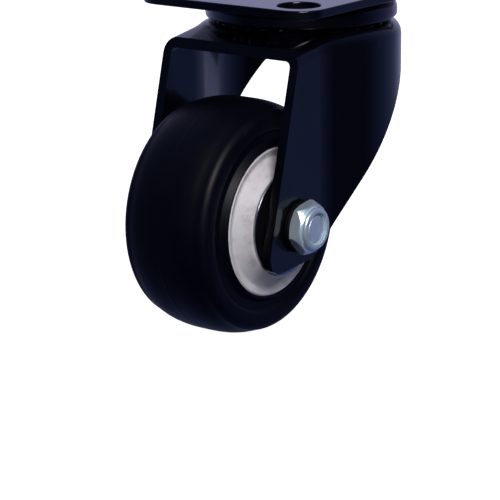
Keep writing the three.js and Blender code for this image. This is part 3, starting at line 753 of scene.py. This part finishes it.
def hexagon(start, end, turned_by=0.0):
    """A hexagonal prism on the axle between two Y values."""
    radius = HEX_ACROSS_FLATS / math.sqrt(3)
    place = (
        Matrix.Translation((AXLE.x, (start + end) / 2, AXLE.z))
        @ Matrix.Rotation(math.radians(turned_by), 4, "Y")
        @ Matrix.Rotation(math.pi / 2, 4, "X")
    )

    def build(bm):
        bmesh.ops.create_cone(
            bm,
            cap_ends=True,
            segments=6,
            radius1=radius,
            radius2=radius,
            depth=abs(end - start),
            matrix=place,
        )

    return loose("hexagon", build)


def on_axle(section):
    """A helper solid turned about the axle."""
    return loose("turned", lambda bm: spun(bm, section, "Y", (AXLE.x, 0, AXLE.z), 72))


flat = HEX_ACROSS_FLATS / 2
corner = HEX_ACROSS_FLATS / math.sqrt(3)
fall = 0.4
NUT_CORNER_FALL = 1.4
NUT_TURN = 18
hex_end = NUT_BASE + 2.5
cone = on_axle(
    [
        (0, -NUT_BASE),
        (flat, -NUT_BASE),
        (corner + 0.02, -NUT_BASE - fall),
        (corner + 0.02, -hex_end + NUT_CORNER_FALL),
        (flat, -hex_end),
        (0, -hex_end),
    ]
)
collar = on_axle(
    [(0, -NUT_BASE - 0.5), (4.45, -NUT_BASE - 0.5), (4.45, -NUT_END + 0.6)]
    + [(3.85 + 0.6 * math.cos(a), -NUT_END + 0.6 - 0.6 * math.sin(a)) for a in (0.4, 0.8, 1.2, 1.57)]
    + [(0, -NUT_END)]
)
bore = on_axle(
    [
        (0, -NUT_BASE + 1),
        (3.05, -NUT_BASE + 1),
        (3.05, -NUT_END + 1.4),
        (3.8, -NUT_END + 1.4),
        (3.8, -NUT_END + 0.4),
        (3.4, -NUT_END + 0.4),
        (3.4, -NUT_END - 1),
        (0, -NUT_END - 1),
    ]
)
bm = carved(hexagon(-NUT_BASE, -hex_end, NUT_TURN), ("INTERSECT", cone), ("UNION", collar), ("DIFFERENCE", bore))
finish_piece(bm, "lock_nut_zinc", zinc, "fork_assembly", ["lock_nut"], edge=0.12, steps=3)

cone = on_axle(
    [
        (0, NUT_BASE),
        (corner + 0.02, NUT_BASE),
        (corner + 0.02, HEAD_END - fall),
        (flat, HEAD_END),
        (0, HEAD_END),
    ]
)
shank = on_axle(
    [(0, -BOLT_END), (2.5, -BOLT_END), (3.0, -BOLT_END + 0.5), (3.0, NUT_BASE + 1), (0, NUT_BASE + 1)]
)
bm = carved(hexagon(NUT_BASE, HEAD_END), ("INTERSECT", cone), ("UNION", shank))
finish_piece(bm, "axle_bolt_zinc", zinc, "fork_assembly", ["axle_bolt"], edge=0.12, steps=3)

# %% Washers, insert and sleeve
AXLE_CENTRE = (AXLE.x, 0, AXLE.z)


def axle_ring(name, inner, outer, start, end, finish, body, node, edge=0.12):
    section = [(inner, start), (outer, start), (outer, end), (inner, end)]
    return turned(name, section, finish, body, [node], centre=AXLE_CENTRE, edge=edge)


# The washers' near-black finish is painted shade, sized to the dark patch that the nut leaves in the glossy
# leg's reflection.
for side, start, end, node in (
    ("nut_side", -WASHER_OUTSIDE, -LEG_HALF - 0.05, "nut_washer"),
    ("head_side", LEG_HALF + 0.05, WASHER_OUTSIDE, "bolt_washer"),
):
    axle_ring(f"washer_{side}", WASHER_HOLE, WASHER_RADIUS, start, end,
              black_steel, "fork_assembly", node, edge=0.2)
axle_ring("nylon_ring", 3.05, 3.75, -NUT_END + 0.45, -NUT_END + 1.35,
          nylon, "fork_assembly", "nut_insert")
axle_ring("sleeve", 3.2, 3.95, -15.3, 15.3, ring_steel, "fork_assembly", "axle_sleeve")

# %% [markdown]
# ## Wheel
# The tyre's section has a crowned tread, round shoulders, a low ridge on each side and a hollow band next to the
# hub, with a thin lip that meets the hub's rim. A mould line runs round the middle of the tread as a hair-thin
# rib. The hub's face dips a little behind its rim and then rises to a boss around the bearing.

# %% Tyre and hub
TYRE_HALF = 10.7
LIP = TYRE_HIGH.y
TREAD_RADIUS = TYRE_HIGH.z - AXLE.z
CROWN = 1.45
SHOULDER = 2.0
HUB_RADIUS = 15.8
HUB_HALF = 11.3


def both_sides(half):
    """A section from the -Y end to the +Y end, from its +Y half."""
    return [(r, -y) for r, y in reversed(half)] + list(half)


crown_half = TYRE_HALF - SHOULDER
tread = [(TREAD_RADIUS - CROWN * (i / 8) ** 3, crown_half * i / 8) for i in range(1, 9)]
mould_line = [(TREAD_RADIUS - 0.015, 0.12), (TREAD_RADIUS - 0.002, 0.05)]
side_wall = [
    *curve(TREAD_RADIUS - CROWN - SHOULDER, crown_half, SHOULDER, 10, 80, 8),
    (20.6, TYRE_HALF),
    (19.8, TYRE_HALF),
    (19.2, TYRE_HALF - 0.25),
    (18.7, TYRE_HALF - 0.8),
    (17.2, TYRE_HALF - 0.85),
    (16.75, TYRE_HALF - 0.4),
    (16.4, LIP - 0.25),
    (16.15, LIP),
    (15.85, LIP),
]
bore_of_tyre = [(15.85, 3.05), (18.65, 3.05), (18.65, -3.05), (15.85, -3.05)]
turned(
    "tread",
    both_sides(list(reversed(mould_line)) + tread + side_wall) + bore_of_tyre,
    tread_finish,
    "wheel",
    ["tyre"],
    centre=AXLE_CENTRE,
    steps=180,
    edge=0.2,
)
turned(
    "hub",
    both_sides(
        [
            (18.6, 3.0),
            (HUB_RADIUS, 3.0),
            (HUB_RADIUS, HUB_HALF - 0.35),
            (HUB_RADIUS - 0.4, HUB_HALF),
            (14.3, HUB_HALF - 0.58),
            (13.8, HUB_HALF - 0.65),
            (13.35, HUB_HALF - 0.3),
            (11.75, 13.5),
            (11.45, 13.9),
            (11.0, 14.0),
            (11.0, 7.25),
            (7.6, 7.25),
        ]
    ),
    hub_finish,
    "wheel",
    ["wheel_hub"],
    centre=AXLE_CENTRE,
    steps=144,
    edge=0.2,
)

# %% [markdown]
# ## Ball bearings
# Each side has a sealed ball bearing that stands proud of the hub. Its bright outer ring frames a black rubber
# seal; the inner ring stays with the bolt and fork, and the cage turns at its own speed between them.

# %% Bearings
BEARING_OUT = 14.3
BEARING_IN = 7.3
PITCH = 7.5
BALL = 1.88
LAND = 9.03
INNER_LAND = 5.97
SEAL_SEAT = 0.9
SEAL_THICKNESS = 0.6
SEAL_RECESS = 0.25
CAGE_HALF = 1.3
middle = (BEARING_OUT + BEARING_IN) / 2


def bearing(side, sign):
    """The rings, seals, spacer, cage and balls on one side of the wheel."""

    def flipped(section):
        return [(r, sign * y) for r, y in section]

    def ring(name, section, finish, body, node, edge=0.15):
        turned(name, flipped(section), finish, body, [node], centre=AXLE_CENTRE, edge=edge)

    ring(
        f"{side}_outer_ring",
        [
            (9.9, BEARING_IN),
            (10.95, BEARING_IN),
            (10.95, BEARING_OUT),
            (9.9, BEARING_OUT),
            (9.9, BEARING_OUT - SEAL_SEAT),
            (LAND, BEARING_OUT - SEAL_SEAT),
            *curve(PITCH, middle, 2.08, 42, -42, 6),
            (LAND, BEARING_IN + SEAL_SEAT),
            (9.9, BEARING_IN + SEAL_SEAT),
        ],
        ring_steel,
        "wheel",
        f"{side}_bearing_outer_ring",
    )
    ring(
        f"{side}_inner_ring",
        [
            (4.0, BEARING_IN),
            (INNER_LAND, BEARING_IN),
            *curve(PITCH, middle, 2.08, 222, 138, 6),
            (INNER_LAND, BEARING_OUT),
            (4.0, BEARING_OUT),
        ],
        ring_steel,
        "fork_assembly",
        f"{side}_bearing_inner_ring",
    )
    for where, start in (
        ("outer", BEARING_OUT - SEAL_RECESS - SEAL_THICKNESS),
        ("inner", BEARING_IN + SEAL_RECESS),
    ):
        end = start + SEAL_THICKNESS
        ring(
            f"{side}_{where}_seal",
            [
                (6.07, start),
                (9.85, start),
                (9.85, end),
                (9.2, end),
                (8.9, end - 0.2),
                (7.0, end - 0.2),
                (6.7, end),
                (6.07, end),
            ],
            rubber,
            "wheel",
            f"{side}_bearing_{where}_seal",
            0.05,
        )
    ring(
        f"{side}_spacer_ring",
        [(4.05, 14.35), (5.6, 14.35), (5.6, 15.3), (4.05, 15.3)],
        ring_steel,
        "fork_assembly",
        f"{side}_spacer",
    )
    bm = bmesh.new()
    low, high = middle - CAGE_HALF, middle + CAGE_HALF
    spun(bm, flipped([(6.8, low), (8.2, low), (8.2, high), (6.8, high)]), centre=AXLE_CENTRE)
    for i in range(7):
        angle = 2 * math.pi * i / 7
        along, up = PITCH * math.cos(angle), PITCH * math.sin(angle)
        spot = Vector((AXLE.x + along, sign * middle, AXLE.z - up))
        bmesh.ops.create_icosphere(bm, subdivisions=3, radius=BALL, matrix=Matrix.Translation(spot))
    cage_node = f"{side}_bearing_cage_and_balls"
    finish_piece(bm, f"{side}_cage_balls", brass, f"{side}_cage", [cage_node])


bearing("nut_side", -1)
bearing("head_side", 1)

# %% [markdown]
# ## Stage and light
# The floor is plain and pale, and the light is a soft studio light. The surroundings are bright behind the
# caster and dim in front of it: gloss black shows little but what it mirrors, so this is what gives its flat
# leg an even deep blue, its crease a dark line and its rounded flank a bright edge.

# %% Stage
bm = bmesh.new()
bmesh.ops.create_grid(bm, x_segments=1, y_segments=1, size=6)
bmesh.ops.translate(bm, vec=(0, 0, TYRE_LOW.z * MM), verts=bm.verts)
floor_mesh = bpy.data.meshes.new("floor")
bm.to_mesh(floor_mesh)
bm.free()
floor = bpy.data.objects.new("floor", floor_mesh)
bpy.context.scene.collection.objects.link(floor)
floor_finish = Finish("pale_floor", Roughness=0.9, Base_Color=(0.9, 0.9, 0.9, 1))
floor_finish.shader.inputs["Emission Color"].default_value = (1, 1, 1, 1)
floor_finish.shader.inputs["Emission Strength"].default_value = 1.0
floor.data.materials.append(floor_finish.material)
floor.visible_glossy = False
floor.visible_diffuse = False

# %% World
world = bpy.data.worlds.new("studio")
bpy.context.scene.world = world
world.use_nodes = True
nodes, links = world.node_tree.nodes, world.node_tree.links
nodes.clear()
direction = nodes.new("ShaderNodeTexCoord")
facing = nodes.new("ShaderNodeVectorMath")
facing.operation = "DOT_PRODUCT"
facing.inputs[1].default_value = (0.767, 0.588, 0.1)
links.new(direction.outputs["Generated"], facing.inputs[0])
share = nodes.new("ShaderNodeMapRange")
share.inputs["From Min"].default_value, share.inputs["From Max"].default_value = -1, 1
links.new(facing.outputs["Value"], share.inputs["Value"])
sky = nodes.new("ShaderNodeValToRGB")
stops = [
    (0.0, (0.030, 0.035, 0.07)),
    (0.35, (0.008, 0.011, 0.03)),
    (0.62, (0.060, 0.085, 0.24)),
    (0.80, (0.12, 0.14, 0.30)),
    (1.0, (0.42, 0.43, 0.68)),
]
while len(sky.color_ramp.elements) < len(stops):
    sky.color_ramp.elements.new(0.5)
for element, (place, colour) in zip(sky.color_ramp.elements, stops):
    element.position, element.color = place, (*colour, 1)
links.new(share.outputs["Result"], sky.inputs["Fac"])
around = nodes.new("ShaderNodeBackground")
links.new(sky.outputs["Color"], around.inputs["Color"])
behind = nodes.new("ShaderNodeBackground")
behind.inputs["Color"].default_value = (1, 1, 1, 1)
behind.inputs["Strength"].default_value = 1.0
path = nodes.new("ShaderNodeLightPath")
choose = nodes.new("ShaderNodeMixShader")
links.new(path.outputs["Is Camera Ray"], choose.inputs["Fac"])
links.new(around.outputs["Background"], choose.inputs[1])
links.new(behind.outputs["Background"], choose.inputs[2])
out = nodes.new("ShaderNodeOutputWorld")
links.new(choose.outputs["Shader"], out.inputs["Surface"])
bpy.context.scene.view_settings.view_transform = "Standard"
print("world ready")

# %% Soft lights


def softbox(name, towards, distance, size, power, colour=(1, 1, 1)):
    """A square soft light that looks at the wheel from a direction."""
    data = bpy.data.lights.new(name, "AREA")
    data.shape, data.size, data.energy, data.color = "SQUARE", size, power, colour
    light = bpy.data.objects.new(name, data)
    target = Vector((AXLE.x, 0, AXLE.z / 2)) * MM
    direction = Vector(towards).normalized()
    light.matrix_world = Matrix.Translation(target + direction * distance) @ direction.to_track_quat(
        "Z", "Y"
    ).to_matrix().to_4x4()
    bpy.context.scene.collection.objects.link(light)
    return light


softbox("key_light", (-0.6, -0.75, 0.8), 0.7, 0.3, 4.2, (1.0, 0.98, 1.0))
low_light = softbox("low_light", (-0.7, -0.9, -0.1), 0.8, 0.3, 2.2, (0.9, 0.93, 1.0))
low_light.visible_glossy = False
print("lights ready")
